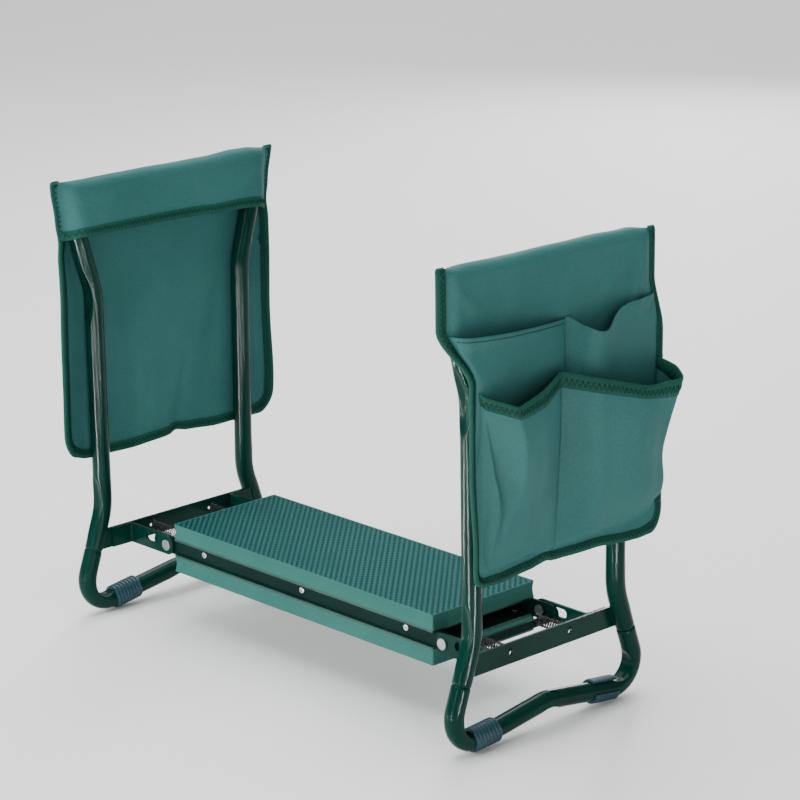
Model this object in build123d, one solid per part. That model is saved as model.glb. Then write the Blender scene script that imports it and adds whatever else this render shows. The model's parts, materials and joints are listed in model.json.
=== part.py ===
from build123d import *
import math
import os

# Garden kneeler seat: a padded bench between two folding tube leg frames, each with a tool bag.
# Millimetres. X runs along the bench, Y across it, Z up. The origin is on the floor, under the middle.
# The kneeling pad faces up here; the bench is turned over to sit on.

# Tube leg frames
TUBE_R = 10.0
TUBE_WALL = 1.2
LEG_X = 287.0                # centre plane of each tube frame
SEAM_Z = 76.0                # where the handle tube meets the foot tube
WAIST_LOW = (101.5, 121.0)   # (y, z) corners of one half of the centreline, before rounding
WAIST_HIGH = (103.4, 364.0)
FOOT_CORNER = (141.0, 8.0)
FOOT_MIDDLE = (0.0, 28.5)
TOP_CORNER = (136.0, 483.0)
TOP_MIDDLE = (0.0, 466.0)
BEND_R = 80.0
CORNER_R = 28.0
MIDDLE_R = 45.0
SPIGOT_LENGTH = 24.0
SPIGOT_CLEARANCE = 0.1
SPIGOT_NECK = 4.0            # the foot tube narrows over this length below the seam

# Hinge hardware
PIVOT_X = 215.0
HINGE_Z = 86.5
STRIP_HEIGHT = 22.0          # cross plate and hinge arms
PLATE_X = 278.2              # inboard face of the cross plate
PLATE_THICKNESS = 3.0
ARM_THICKNESS = 2.5
ARM_OUTER_Y = 72.0
ARM_TIP_X = 205.7
ARM_FLANGE_Y = 98.0
ARM_BEND_R = 5.0
WINDOW_X = (232.0, 250.0)
WINDOW_Z = 89.0
WINDOW_HEIGHT = 10.0
RIVET_R = 4.0
RIVET_CLEARANCE = 0.05
RIVET_HEAD_R = 6.2
RIVET_HEAD = 2.0
RIVET_TAIL_R = 5.5
RIVET_TAIL = 1.6
PULL = 8.0                   # how far the leg frame slides out to unlock
SPRING_Y = 42.0
SPRING_HOLE_R = 2.6

# Bench
BENCH_HALF_X = 202.0
BENCH_HALF_Y = 72.75
PAD_TOP_Z = 113.8
PAD_THICKNESS = 17.5
PAD_EDGE_R = 1.2
BOARD_THICKNESS = 2.0
RAIL_THICKNESS = 2.5
RAIL_OUTER_Y = 69.0
RAIL_FLANGE = 12.0
TAB_END_X = 240.0
TAB_HEIGHT = 19.0
SPRING_BAR_X = 230.0
SPRING_BAR_THICKNESS = 3.0
SPRING_BAR_Z = (77.5, 86.0)
SPRING_HOLE_DROP = 3.0       # from the bar's top edge to its holes
BAR_HOLE_R = 1.6
TIE_X = (-154.0, 3.0, 160.0)
TIE_SIZE = 12.0
SCREW_Z = 89.0
SCREW_R = 2.0
SCREW_HEAD_R = 3.6
BOARD_RIVET_X = (-185.0, -60.0, 60.0, 185.0)
BOARD_RIVET_R = 2.0
BOARD_RIVET_HEAD_R = 4.0

# Springs
SPRING_R = 5.2               # to the wire's centre
SPRING_WIRE = 1.4
SPRING_COIL_X = (237.0, 271.0)
SPRING_Z = 87.5

# Foot sleeves
SLEEVE_Y = 78.0
SLEEVE_LENGTH = 35.0
SLEEVE_R = 13.0
SLEEVE_GAP = 0.15
SLEEVE_RIBS = 8
SLEEVE_GROOVE = 0.8
SLEEVE_SLIT = 7.0

# Tool bags
BAG_INNER_X = 297.5          # fabric face next to the tubes
FABRIC = 1.5
BAG_HALF_Y = 150.0
BAG_BOTTOM_Z = 178.0
BAG_TOP_Z = 490.0
BAG_CORNER_R = 36.0
HOOD_INNER_X = 275.0
HOOD_BOTTOM_Z = 430.0
UPPER_POCKET_Y = (2.0, 128.0)
UPPER_POCKET_Z = (300.0, 424.0)
UPPER_POCKET_DEPTH = 17.0
LOWER_POCKET_Y = (0.4, 146.0)
LOWER_POCKET_Z = (192.0, 366.0)
LOWER_POCKET_DEPTH = 38.0
LOWER_POCKET_CORNER_R = 34.0
POCKET_WALL = 1.2
BINDING_WIDTH = 8.0
BINDING_PROUD = 0.6

SIDES = {"left": -1, "right": 1}
ENDS = {"front": -1, "back": 1}

# The foot tube rises from its corners to its middle, and the sleeves' outer rims touch the floor.
FOOT_RISE = (FOOT_MIDDLE[1] - FOOT_CORNER[1]) / FOOT_CORNER[0]
FOOT_ANGLE = math.atan(FOOT_RISE)
SLEEVE_AXIS_Z = FOOT_MIDDLE[1] - FOOT_RISE * SLEEVE_Y
SLEEVE_LOW_Z = SLEEVE_AXIS_Z - SLEEVE_LENGTH / 2 * math.sin(FOOT_ANGLE) - SLEEVE_R * math.cos(FOOT_ANGLE)

nodes = {}


def box_between(low, high):
    """A box from its lowest corner to its highest."""
    size = [b - a for a, b in zip(low, high)]
    middle = [(a + b) / 2 for a, b in zip(low, high)]
    return Pos(*middle) * Box(*size)


def on_side(shape, side):
    """A shape drawn on the right end of the bench, or its mirror image on the left."""
    return shape if side > 0 else mirror(shape, Plane.YZ)


def rod_y(x, z, radius, y_low, y_high):
    """A round rod along Y."""
    return Pos(x, (y_low + y_high) / 2, z) * Rot(90, 0, 0) * Cylinder(radius, y_high - y_low)


def rod_x(y, z, radius, x_low, x_high):
    """A round rod along X."""
    return Pos((x_low + x_high) / 2, y, z) * Rot(0, 90, 0) * Cylinder(radius, x_high - x_low)


# --- tube leg frames ---------------------------------------------------------------------------

def seam_point(height=SEAM_Z):
    """Where the splayed lower leg's centreline passes a height."""
    run = (FOOT_CORNER[0] - WAIST_LOW[0]) / (WAIST_LOW[1] - FOOT_CORNER[1])
    return WAIST_LOW[0] + run * (WAIST_LOW[1] - height), height


def mirrored_path(half, radii):
    """A rounded centreline in the leg plane, from half its (y, z) corners, ending at the middle."""
    corners = [(-y, z) for y, z in half] + [(y, z) for y, z in reversed(half[:-1])]
    points = [(LEG_X, y, z - SLEEVE_LOW_Z) for y, z in corners]
    return FilletPolyline(*points, radius=radii + [MIDDLE_R] + radii[::-1])


def handle_path():
    return mirrored_path([seam_point(), WAIST_LOW, WAIST_HIGH, TOP_CORNER, TOP_MIDDLE],
                         [BEND_R, BEND_R, CORNER_R])


def foot_path(start=SEAM_Z):
    return mirrored_path([seam_point(start), FOOT_CORNER, FOOT_MIDDLE], [CORNER_R])


def rod_along(path, radius):
    profile = Plane(path @ 0, z_dir=path % 0) * Circle(radius)
    return sweep(profile, path=path)


def tube_frame():
    """The handle tube, the foot tube with its two swaged spigots, and their solid outline."""
    handle = rod_along(handle_path(), TUBE_R)
    foot = rod_along(foot_path(), TUBE_R)
    outline = [handle, foot]
    bore = TUBE_R - TUBE_WALL
    spigot_r = bore - SPIGOT_CLEARANCE
    foot_tube = foot + rod_along(foot_path(SEAM_Z + SPIGOT_LENGTH), spigot_r)
    foot_tube -= rod_along(foot_path(SEAM_Z + SPIGOT_LENGTH), spigot_r - TUBE_WALL)
    foot_tube -= rod_along(foot_path(SEAM_Z - SPIGOT_NECK), bore)
    handle_tube = handle - rod_along(handle_path(), bore)
    return handle_tube, foot_tube, outline


# --- hinge hardware ----------------------------------------------------------------------------

def cross_plate(outline):
    """The flat strip between the two legs of a frame, with a hole for each spring's hook."""
    low, high = HINGE_Z - STRIP_HEIGHT / 2, HINGE_Z + STRIP_HEIGHT / 2
    y_low, y_high = seam_point(low)[0], seam_point(high)[0]
    face = Plane.YZ * Polygon((-y_low, low), (y_low, low), (y_high, high), (-y_high, high), align=None)
    plate = Pos(PLATE_X, 0, 0) * extrude(face, PLATE_THICKNESS)
    for tube in outline:
        plate -= tube
    for y in (-SPRING_Y, SPRING_Y):
        plate -= rod_x(y, HINGE_Z, SPRING_HOLE_R, PLATE_X - 5, PLATE_X + PLATE_THICKNESS + 5)
    return max(plate.solids(), key=lambda solid: solid.volume)


def hinge_arm(end):
    """A strip bent round from the cross plate to the pivot, with a rounded tip and a window."""
    inner_y = ARM_OUTER_Y - ARM_THICKNESS
    back_x = PLATE_X - ARM_THICKNESS
    middle_y = (inner_y + ARM_OUTER_Y) / 2
    corners = [
        (ARM_TIP_X, inner_y), (PLATE_X, inner_y), (PLATE_X, ARM_FLANGE_Y),
        (back_x, ARM_FLANGE_Y), (back_x, ARM_OUTER_Y), (ARM_TIP_X, ARM_OUTER_Y),
    ]
    arm = Pos(0, 0, HINGE_Z - STRIP_HEIGHT / 2) * extrude(Polygon(*corners, align=None), STRIP_HEIGHT)
    uprights = arm.edges().filter_by(Axis.Z)
    arm = fillet(uprights.sort_by_distance((PLATE_X, inner_y, HINGE_Z))[0], ARM_BEND_R)
    uprights = arm.edges().filter_by(Axis.Z)
    arm = fillet(uprights.sort_by_distance((back_x, ARM_OUTER_Y, HINGE_Z))[0], ARM_BEND_R - ARM_THICKNESS)
    tip = arm.edges().filter_by(Axis.Y).sort_by(Axis.X)[:2]
    arm = fillet(tip, PIVOT_X - ARM_TIP_X - 0.3)
    arm -= rod_y(PIVOT_X, HINGE_Z, RIVET_R + RIVET_CLEARANCE, inner_y - 5, ARM_OUTER_Y + 5)
    window_x = sum(WINDOW_X) / 2
    slot = SlotOverall(WINDOW_X[1] - WINDOW_X[0], WINDOW_HEIGHT)
    window = Pos(window_x, middle_y, WINDOW_Z) * Rot(90, 0, 0) * extrude(slot, 10, both=True)
    arm -= window
    return arm if end > 0 else mirror(arm, Plane.XZ)


def pivot_rivet(end):
    """The rivet that holds an arm to the rail's end tab and runs in the tab's slot."""
    tab_inner = RAIL_OUTER_Y - RAIL_THICKNESS
    rivet = rod_y(PIVOT_X, HINGE_Z, RIVET_R, tab_inner - 0.3, ARM_OUTER_Y + 0.1)
    head = rod_y(PIVOT_X, HINGE_Z, RIVET_HEAD_R, ARM_OUTER_Y + 0.1, ARM_OUTER_Y + 0.1 + RIVET_HEAD)
    rivet += fillet(head.edges().sort_by(Axis.Y)[-1], 0.6)
    rivet += rod_y(PIVOT_X, HINGE_Z, RIVET_TAIL_R, tab_inner - 0.3 - RIVET_TAIL, tab_inner - 0.3)
    return rivet if end > 0 else mirror(rivet, Plane.XZ)


# --- bench -------------------------------------------------------------------------------------

BOARD_TOP_Z = PAD_TOP_Z - PAD_THICKNESS
RAIL_TOP_Z = BOARD_TOP_Z - BOARD_THICKNESS
RAIL_LOW_Z = 2 * HINGE_Z - RAIL_TOP_Z


def board_rivet_places():
    flange_middle = RAIL_OUTER_Y - RAIL_THICKNESS - RAIL_FLANGE / 2
    return [(x, end * flange_middle) for x in BOARD_RIVET_X for end in (-1, 1)]


def rail(end):
    """A channel rail along the bench, whose web runs on past the pads as a slotted, rounded tab."""
    web_inner = RAIL_OUTER_Y - RAIL_THICKNESS
    flange_inner = web_inner - RAIL_FLANGE
    body = box_between((-BENCH_HALF_X, flange_inner, RAIL_LOW_Z), (BENCH_HALF_X, RAIL_OUTER_Y, RAIL_TOP_Z))
    body -= box_between(
        (-BENCH_HALF_X, flange_inner, RAIL_LOW_Z + RAIL_THICKNESS / 2),
        (BENCH_HALF_X, web_inner, RAIL_TOP_Z - RAIL_THICKNESS / 2),
    )
    tab_r = TAB_HEIGHT / 2
    tab_middle = TAB_END_X - tab_r
    tabs = box_between((-tab_middle, web_inner, HINGE_Z - tab_r), (tab_middle, RAIL_OUTER_Y, HINGE_Z + tab_r))
    tabs &= box_between((-300, web_inner, RAIL_LOW_Z), (300, RAIL_OUTER_Y, RAIL_TOP_Z))
    for side in SIDES.values():
        x_low, x_high = sorted((side * (BENCH_HALF_X + 1), side * tab_middle))
        tabs += box_between((x_low, web_inner, HINGE_Z - tab_r), (x_high, RAIL_OUTER_Y, HINGE_Z + tab_r))
        tabs += rod_y(side * tab_middle, HINGE_Z, tab_r, web_inner, RAIL_OUTER_Y)
    body += tabs
    for side in SIDES.values():
        slot_middle = side * (PIVOT_X + PULL / 2)
        slot_r = RIVET_R + RIVET_CLEARANCE
        slot = SlotCenterToCenter(PULL, 2 * slot_r)
        body -= Pos(slot_middle, RAIL_OUTER_Y, HINGE_Z) * Rot(90, 0, 0) * extrude(slot, 10, both=True)
    for x in TIE_X:
        body -= rod_y(x, SCREW_Z, SCREW_R, web_inner - 1, RAIL_OUTER_Y + 1)
    for x, y in board_rivet_places():
        if y > 0:
            body -= Pos(x, y, HINGE_Z) * Cylinder(BOARD_RIVET_R, 60)
    return body if end > 0 else mirror(body, Plane.XZ)


def spring_bar():
    """The flat bar between the two rail tabs that the springs hook on to."""
    web_inner = RAIL_OUTER_Y - RAIL_THICKNESS
    half = SPRING_BAR_THICKNESS / 2
    bar = box_between(
        (SPRING_BAR_X - half, -web_inner, SPRING_BAR_Z[0]), (SPRING_BAR_X + half, web_inner, SPRING_BAR_Z[1])
    )
    for y in (-SPRING_Y, SPRING_Y):
        bar -= rod_x(y, SPRING_BAR_Z[1] - SPRING_HOLE_DROP, BAR_HOLE_R, SPRING_BAR_X - 5, SPRING_BAR_X + 5)
    return bar


def cross_tie(x):
    """A square bar between the rails that keeps them apart and takes the rail screws."""
    web_inner = RAIL_OUTER_Y - RAIL_THICKNESS
    half = TIE_SIZE / 2
    tie = box_between((x - half, -web_inner, HINGE_Z - half), (x + half, web_inner, HINGE_Z + half))
    for end in ENDS.values():
        y_low, y_high = sorted((end * (web_inner - 11), end * web_inner))
        tie -= rod_y(x, SCREW_Z, SCREW_R, y_low, y_high)
    return tie


def rail_screw(x, end):
    web_inner = RAIL_OUTER_Y - RAIL_THICKNESS
    screw = rod_y(x, SCREW_Z, SCREW_R, web_inner - 10, RAIL_OUTER_Y + 0.1)
    head = rod_y(x, SCREW_Z, SCREW_HEAD_R, RAIL_OUTER_Y, RAIL_OUTER_Y + 2)
    head = fillet(head.edges().sort_by(Axis.Y)[-1], 1.0)
    cross = Pos(x, RAIL_OUTER_Y + 2, SCREW_Z) * (Box(4, 2, 0.9) + Box(0.9, 2, 4))
    screw = screw + head - cross
    return screw if end > 0 else mirror(screw, Plane.XZ)


def pad(z_low):
    """One foam pad, with a little rounding along its edges."""
    foam = box_between((-BENCH_HALF_X, -BENCH_HALF_Y, z_low), (BENCH_HALF_X, BENCH_HALF_Y, z_low + PAD_THICKNESS))
    return fillet(foam.edges(), PAD_EDGE_R)


def board(z_low):
    """The stiff sheet behind a pad, drilled for its rivets."""
    half_y = BENCH_HALF_Y - 0.35
    sheet = box_between((-BENCH_HALF_X + 1, -half_y, z_low), (BENCH_HALF_X - 1, half_y, z_low + BOARD_THICKNESS))
    for x, y in board_rivet_places():
        sheet -= Pos(x, y, z_low) * Cylinder(BOARD_RIVET_R, 20)
    return sheet


def board_rivets(face_z, inward):
    """Flush rivets from a board's pad face through the rail flange, with heads inside the rail."""
    reach = BOARD_THICKNESS + RAIL_THICKNESS / 2
    shanks = []
    for x, y in board_rivet_places():
        shank = Pos(x, y, face_z + inward * reach / 2) * Cylinder(BOARD_RIVET_R, reach)
        head = Pos(x, y, face_z + inward * (reach + 0.5)) * Cylinder(BOARD_RIVET_HEAD_R, 1.0)
        shanks.append(shank + head)
    return Compound(children=shanks)


# --- springs -----------------------------------------------------------------------------------

def spring_body(end):
    """The closed outer shape of one coil spring, and the straight wire of its two hooks."""
    radius = SPRING_R + SPRING_WIRE / 2
    y = end * SPRING_Y
    coil = rod_x(y, SPRING_Z, radius, *SPRING_COIL_X)
    coil = fillet(coil.edges(), 2.0)
    coil += rod_x(y, SPRING_BAR_Z[1] - SPRING_HOLE_DROP, SPRING_WIRE / 2, SPRING_BAR_X, SPRING_COIL_X[0] + 3)
    coil += rod_x(y, HINGE_Z, SPRING_WIRE / 2, SPRING_COIL_X[1] - 3, PLATE_X + PLATE_THICKNESS)
    return coil


# --- foot sleeves ------------------------------------------------------------------------------

def foot_sleeve(end):
    """A ribbed clip-on sleeve round the foot tube, slit along its outboard side."""
    sleeve = Cylinder(SLEEVE_R, SLEEVE_LENGTH)
    pitch = SLEEVE_LENGTH / (SLEEVE_RIBS + 1)
    for number in range(1, SLEEVE_RIBS + 1):
        groove = Cylinder(SLEEVE_R + 1, pitch * 0.35) - Cylinder(SLEEVE_R - SLEEVE_GROOVE, pitch)
        sleeve -= Pos(0, 0, -SLEEVE_LENGTH / 2 + number * pitch) * groove
    sleeve -= Cylinder(TUBE_R + SLEEVE_GAP, SLEEVE_LENGTH + 2)
    sleeve -= Pos(SLEEVE_R, 0, 0) * Box(SLEEVE_R, SLEEVE_SLIT, SLEEVE_LENGTH + 2)
    placed = Pos(LEG_X, -SLEEVE_Y, SLEEVE_AXIS_Z - SLEEVE_LOW_Z) * Rot(90 + math.degrees(FOOT_ANGLE), 0, 0) * sleeve
    return placed if end < 0 else mirror(placed, Plane.XZ)


# --- tool bags ---------------------------------------------------------------------------------

def panel_outline(grow=0.0):
    """The bag's back panel in the YZ plane, square at the top and rounded at the bottom."""
    half_y = BAG_HALF_Y + grow
    low, high = BAG_BOTTOM_Z - grow, BAG_TOP_Z
    face = Polygon((-half_y, low), (half_y, low), (half_y, high), (-half_y, high), align=None)
    face = fillet(face.vertices().sort_by(Axis.Y)[:2], BAG_CORNER_R + grow)
    return Plane.YZ * face


def bag_panel():
    return Pos(BAG_INNER_X, 0, 0) * extrude(panel_outline(-BINDING_PROUD), FABRIC)


def bag_binding():
    """The tape sewn round the panel's bottom and sides."""
    rim = panel_outline() - panel_outline(-BINDING_PROUD)
    tape = Pos(BAG_INNER_X - 0.3, 0, 0) * extrude(rim, FABRIC + 0.6)
    return tape - box_between((200, -200, HOOD_BOTTOM_Z), (400, 200, 600))


def bag_hood():
    """The pocket of fabric that slips over the top tube, with bound ends and an inner flap."""
    half_y = BAG_HALF_Y - BINDING_PROUD
    hood = box_between((HOOD_INNER_X, -half_y, HOOD_BOTTOM_Z), (BAG_INNER_X, half_y, BAG_TOP_Z))
    hollow = box_between(
        (HOOD_INNER_X + FABRIC, -half_y + FABRIC, HOOD_BOTTOM_Z - 1), (BAG_INNER_X, half_y - FABRIC, BAG_TOP_Z - FABRIC)
    )
    return hood - hollow


def pocket(y_range, z_range, depth, end, corner_r=0.0):
    """An open-topped pouch on the outside of the panel, with its low outer corner rounded."""
    x_low = BAG_INNER_X + FABRIC
    x_high = x_low + depth
    pouch = box_between((x_low, y_range[0], z_range[0]), (x_high, y_range[1], z_range[1]))
    hollow = box_between(
        (x_low, y_range[0] + POCKET_WALL, z_range[0] + POCKET_WALL),
        (x_high - POCKET_WALL, y_range[1] - POCKET_WALL, z_range[1] + 1),
    )
    if corner_r:
        pouch = fillet(low_outer_edge(pouch), corner_r)
        hollow = fillet(low_outer_edge(hollow), corner_r - POCKET_WALL)
    pouch -= hollow
    return pouch if end > 0 else mirror(pouch, Plane.XZ)


def low_outer_edge(block):
    """The edge of a block that runs along X at its lowest z and greatest y."""
    return block.edges().filter_by(Axis.X).sort_by(lambda edge: edge.center().Y - edge.center().Z)[-1]


# --- the pieces --------------------------------------------------------------------------------

nodes["kneeling_pad"] = pad(BOARD_TOP_Z)
nodes["seat_pad"] = pad(2 * HINGE_Z - PAD_TOP_Z)
nodes["kneeling_board"] = board(RAIL_TOP_Z)
nodes["seat_board"] = board(RAIL_LOW_Z - BOARD_THICKNESS)
nodes["kneeling_board_rivets"] = board_rivets(BOARD_TOP_Z, -1)
nodes["seat_board_rivets"] = board_rivets(RAIL_LOW_Z - BOARD_THICKNESS, 1)
nodes["rail_screws"] = Compound(children=[rail_screw(x, end) for x in TIE_X for end in ENDS.values()])
for name, x in zip(("left", "middle", "right"), TIE_X):
    nodes[f"{name}_cross_tie"] = cross_tie(x)
for end_name, end in ENDS.items():
    nodes[f"{end_name}_rail"] = rail(end)

handle_tube, foot_tube, frame_outline = tube_frame()
for side_name, side in SIDES.items():
    nodes[f"{side_name}_spring_bar"] = on_side(spring_bar(), side)
    nodes[f"{side_name}_pivot_rivets"] = Compound(
        children=[on_side(pivot_rivet(end), side) for end in ENDS.values()]
    )
    nodes[f"{side_name}_handle_tube"] = on_side(handle_tube, side)
    nodes[f"{side_name}_foot_tube"] = on_side(foot_tube, side)
    nodes[f"{side_name}_cross_plate"] = on_side(cross_plate(frame_outline), side)
    nodes[f"{side_name}_bag_panel"] = on_side(bag_panel(), side)
    nodes[f"{side_name}_bag_binding"] = on_side(bag_binding(), side)
    nodes[f"{side_name}_bag_hood"] = on_side(bag_hood(), side)
    for end_name, end in ENDS.items():
        place = f"{side_name}_{end_name}"
        nodes[f"{place}_spring"] = on_side(spring_body(end), side)
        nodes[f"{place}_hinge_arm"] = on_side(hinge_arm(end), side)
        nodes[f"{place}_foot_sleeve"] = on_side(foot_sleeve(end), side)
        nodes[f"{place}_upper_pocket"] = on_side(
            pocket(UPPER_POCKET_Y, UPPER_POCKET_Z, UPPER_POCKET_DEPTH, end), side
        )
        nodes[f"{place}_lower_pocket"] = on_side(
            pocket(LOWER_POCKET_Y, LOWER_POCKET_Z, LOWER_POCKET_DEPTH, end, LOWER_POCKET_CORNER_R), side
        )

os.makedirs("parts", exist_ok=True)
for name, shape in nodes.items():
    export_step(shape, f"parts/{name}.step")

whole = Compound(children=list(nodes.values())).bounding_box()
print(len(nodes), "nodes, from", whole.min, "to", whole.max)
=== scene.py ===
"""Garden kneeler seat: the looks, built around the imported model.

Shapes are worked out in millimetres in the row frame and turned to metres as each mesh is made.
Bag fabric uses bag space: (out, y, z), where out is the distance outside the bag panel's plane.
"""
import json
import math

import bmesh
import bpy
import numpy as np
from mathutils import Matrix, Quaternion, Vector, noise


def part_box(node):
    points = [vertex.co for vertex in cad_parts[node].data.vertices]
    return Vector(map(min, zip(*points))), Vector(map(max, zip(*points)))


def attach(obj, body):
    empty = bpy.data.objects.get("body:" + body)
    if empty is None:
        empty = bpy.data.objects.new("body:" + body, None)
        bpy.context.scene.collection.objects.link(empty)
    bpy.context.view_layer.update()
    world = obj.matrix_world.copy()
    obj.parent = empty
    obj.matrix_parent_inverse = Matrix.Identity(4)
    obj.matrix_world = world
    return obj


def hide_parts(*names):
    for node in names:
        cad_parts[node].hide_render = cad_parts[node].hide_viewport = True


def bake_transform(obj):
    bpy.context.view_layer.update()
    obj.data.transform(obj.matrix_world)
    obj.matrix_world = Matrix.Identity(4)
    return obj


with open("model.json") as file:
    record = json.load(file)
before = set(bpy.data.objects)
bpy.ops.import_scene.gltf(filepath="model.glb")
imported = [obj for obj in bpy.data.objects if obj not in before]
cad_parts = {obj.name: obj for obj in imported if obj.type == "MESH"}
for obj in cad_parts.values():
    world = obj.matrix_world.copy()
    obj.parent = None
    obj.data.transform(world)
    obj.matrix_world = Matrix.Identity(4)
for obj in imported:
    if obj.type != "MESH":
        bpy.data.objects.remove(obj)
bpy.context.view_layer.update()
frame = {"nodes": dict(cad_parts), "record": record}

MM = 0.001
SIDES = {"left": -1, "right": 1}
ENDS = {"front": -1, "back": 1}


def box_mm(node):
    """A CAD node's lowest and highest corner, in millimetres."""
    low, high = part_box(node)
    return np.array(low) / MM, np.array(high) / MM


handle_low, handle_high = box_mm("right_handle_tube")
foot_low, _ = box_mm("right_foot_tube")
pad_low, pad_high = box_mm("kneeling_pad")
seat_pad_low, seat_pad_high = box_mm("seat_pad")
pivot_low, pivot_high = box_mm("right_pivot_rivets")
plate_low, plate_high = box_mm("right_cross_plate")
arm_low, _ = box_mm("right_back_hinge_arm")

ARM_Y = arm_low[1]
LEG_X = (handle_low[0] + handle_high[0]) / 2
TUBE_R = (handle_high[0] - handle_low[0]) / 2
TUBE_TOP = 486.4
HINGE_Z = (pivot_low[2] + pivot_high[2]) / 2

# The tube loop's centreline, as the corners of one half in (y, z) before they are rounded.
SEAM_Z = 76.0
WAIST_LOW = (101.5, 121.0)
WAIST_HIGH = (103.4, 364.0)
FOOT_CORNER = (141.0, 8.0)
FOOT_MIDDLE = (0.0, 28.5)
TOP_CORNER = (136.0, 483.0)
TOP_MIDDLE = (0.0, 466.0)
BEND_R = 80.0
CORNER_R = 28.0
MIDDLE_R = 45.0


# --- mesh helpers ---

def unit(v):
    return v / np.linalg.norm(v)


def distances(points):
    """The distance along a line of points, at each point."""
    return np.concatenate([[0], np.cumsum(np.linalg.norm(np.diff(points, axis=0), axis=1))])


def directions(line):
    """Unit directions along a line of points."""
    steps = np.gradient(line, axis=0)
    return steps / np.linalg.norm(steps, axis=1)[:, None]


def spread_evenly(points, count):
    """The same line, as evenly spaced points."""
    run = distances(points)
    spots = np.linspace(0, run[-1], count)
    return np.stack([np.interp(spots, run, points[:, k]) for k in range(points.shape[1])], axis=1)


def smooth_step(low, high, value):
    t = np.clip((value - low) / (high - low), 0.0, 1.0)
    return t * t * (3 - 2 * t)


def new_object(name, points, faces, material, uvs=None):
    """A mesh object from points in millimetres. uvs are per point, in millimetres of material."""
    mesh = bpy.data.meshes.new(name)
    mesh.from_pydata([tuple(p) for p in np.asarray(points) * MM], [], faces)
    mesh.materials.append(material)
    mesh.update()
    if uvs is not None:
        layer = mesh.uv_layers.new(name="cloth")
        flat = np.asarray(uvs)[[loop.vertex_index for loop in mesh.loops]] * MM
        layer.data.foreach_set("uv", flat.astype(np.float32).ravel())
    mesh.polygons.foreach_set("use_smooth", [True] * len(mesh.polygons))
    thing = bpy.data.objects.new(name, mesh)
    bpy.context.scene.collection.objects.link(thing)
    return thing


def grid_faces(rows, cols, closed=False):
    """Quads over rows of cols points, with the last column joined to the first if closed."""
    faces = []
    for r in range(rows - 1):
        for c in range(cols if closed else cols - 1):
            d = (c + 1) % cols
            faces.append((r * cols + c, r * cols + d, (r + 1) * cols + d, (r + 1) * cols + c))
    return faces


def tube_faces(rings, sides):
    """Quads round a row of rings, with both ends closed."""
    faces = grid_faces(rings, sides, closed=True)
    faces.append(tuple(reversed(range(sides))))
    faces.append(tuple(range((rings - 1) * sides, rings * sides)))
    return faces


def join_parts(name, parts, material):
    """One object from several (points, faces) pairs."""
    points, faces, offset = [], [], 0
    for part_points, part_faces in parts:
        points.extend(part_points)
        faces.extend(tuple(i + offset for i in face) for face in part_faces)
        offset += len(part_points)
    return new_object(name, points, faces, material)


def wire(path, radius, sides=8):
    """(points, faces) of a round wire along 3-D points."""
    path = np.asarray(path, float)
    tangents = directions(path)
    across = np.cross(tangents[0], [0.0, 0.0, 1.0])
    if np.linalg.norm(across) < 0.1:
        across = np.cross(tangents[0], [0.0, 1.0, 0.0])
    across = unit(across)
    angles = np.arange(sides) * 2 * math.pi / sides
    points = []
    for p, t in zip(path, tangents):
        across = unit(across - t * (across @ t))
        other = np.cross(t, across)
        points.extend(p + radius * (math.cos(a) * across + math.sin(a) * other) for a in angles)
    return points, tube_faces(len(path), sides)


def recalculate_normals(thing):
    bm = bmesh.new()
    bm.from_mesh(thing.data)
    bmesh.ops.recalc_face_normals(bm, faces=bm.faces)
    bm.to_mesh(thing.data)
    bm.free()


def add_modifier(thing, kind, name, **settings):
    modifier = thing.modifiers.new(name, kind)
    for key, value in settings.items():
        setattr(modifier, key, value)
    return modifier


# --- material helpers ---

class Shader:
    """A material whose nodes are added by short calls."""

    def __init__(self, name):
        self.material = bpy.data.materials.new(name)
        self.material.use_nodes = True
        self.tree = self.material.node_tree
        self.tree.nodes.clear()
        self.output = self.tree.nodes.new("ShaderNodeOutputMaterial")
        self.surface = self.tree.nodes.new("ShaderNodeBsdfPrincipled")
        self.tree.links.new(self.surface.outputs[0], self.output.inputs[0])

    def set(self, **values):
        for key, value in values.items():
            self.surface.inputs[key.replace("_", " ")].default_value = value

    def node(self, kind, links=None, **settings):
        made = self.tree.nodes.new(kind)
        for key, value in settings.items():
            setattr(made, key, value)
        for key, value in (links or {}).items():
            if isinstance(value, bpy.types.NodeSocket):
                self.tree.links.new(value, made.inputs[key])
            else:
                made.inputs[key].default_value = value
        return made

    def coordinates(self):
        return self.node("ShaderNodeTexCoord").outputs["Object"]

    def noise(self, scale, detail, where=None):
        where = where or self.coordinates()
        links = {"Vector": where, "Scale": scale, "Detail": detail, "Roughness": 0.55}
        return self.node("ShaderNodeTexNoise", links).outputs[0]

    def math(self, operation, a, b=0.0, c=0.0):
        return self.node("ShaderNodeMath", {0: a, 1: b, 2: c}, operation=operation).outputs[0]

    def ramp(self, value, low, high, a=0.0, b=1.0):
        """value, from low to high, mapped to a to b and clamped."""
        links = {"Value": value, "From Min": low, "From Max": high, "To Min": a, "To Max": b}
        return self.node("ShaderNodeMapRange", links).outputs[0]

    def mix(self, factor, a, b):
        """A colour between a and b."""
        return self.node("ShaderNodeMix", {0: factor, 6: a, 7: b}, data_type="RGBA").outputs[2]

    def bump(self, height, strength, distance, under=None):
        links = {"Height": height, "Strength": strength, "Distance": distance}
        if under:
            links["Normal"] = under
        return self.node("ShaderNodeBump", links).outputs[0]

    def connect(self, output, name):
        self.tree.links.new(output, self.surface.inputs[name])

    def tint(self, scale, detail, base, light, low=0.3):
        """Colour the surface by cloudy noise between two shades."""
        self.connect(self.mix(self.ramp(self.noise(scale, detail), low, 0.7), base, light), "Base Color")


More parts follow.
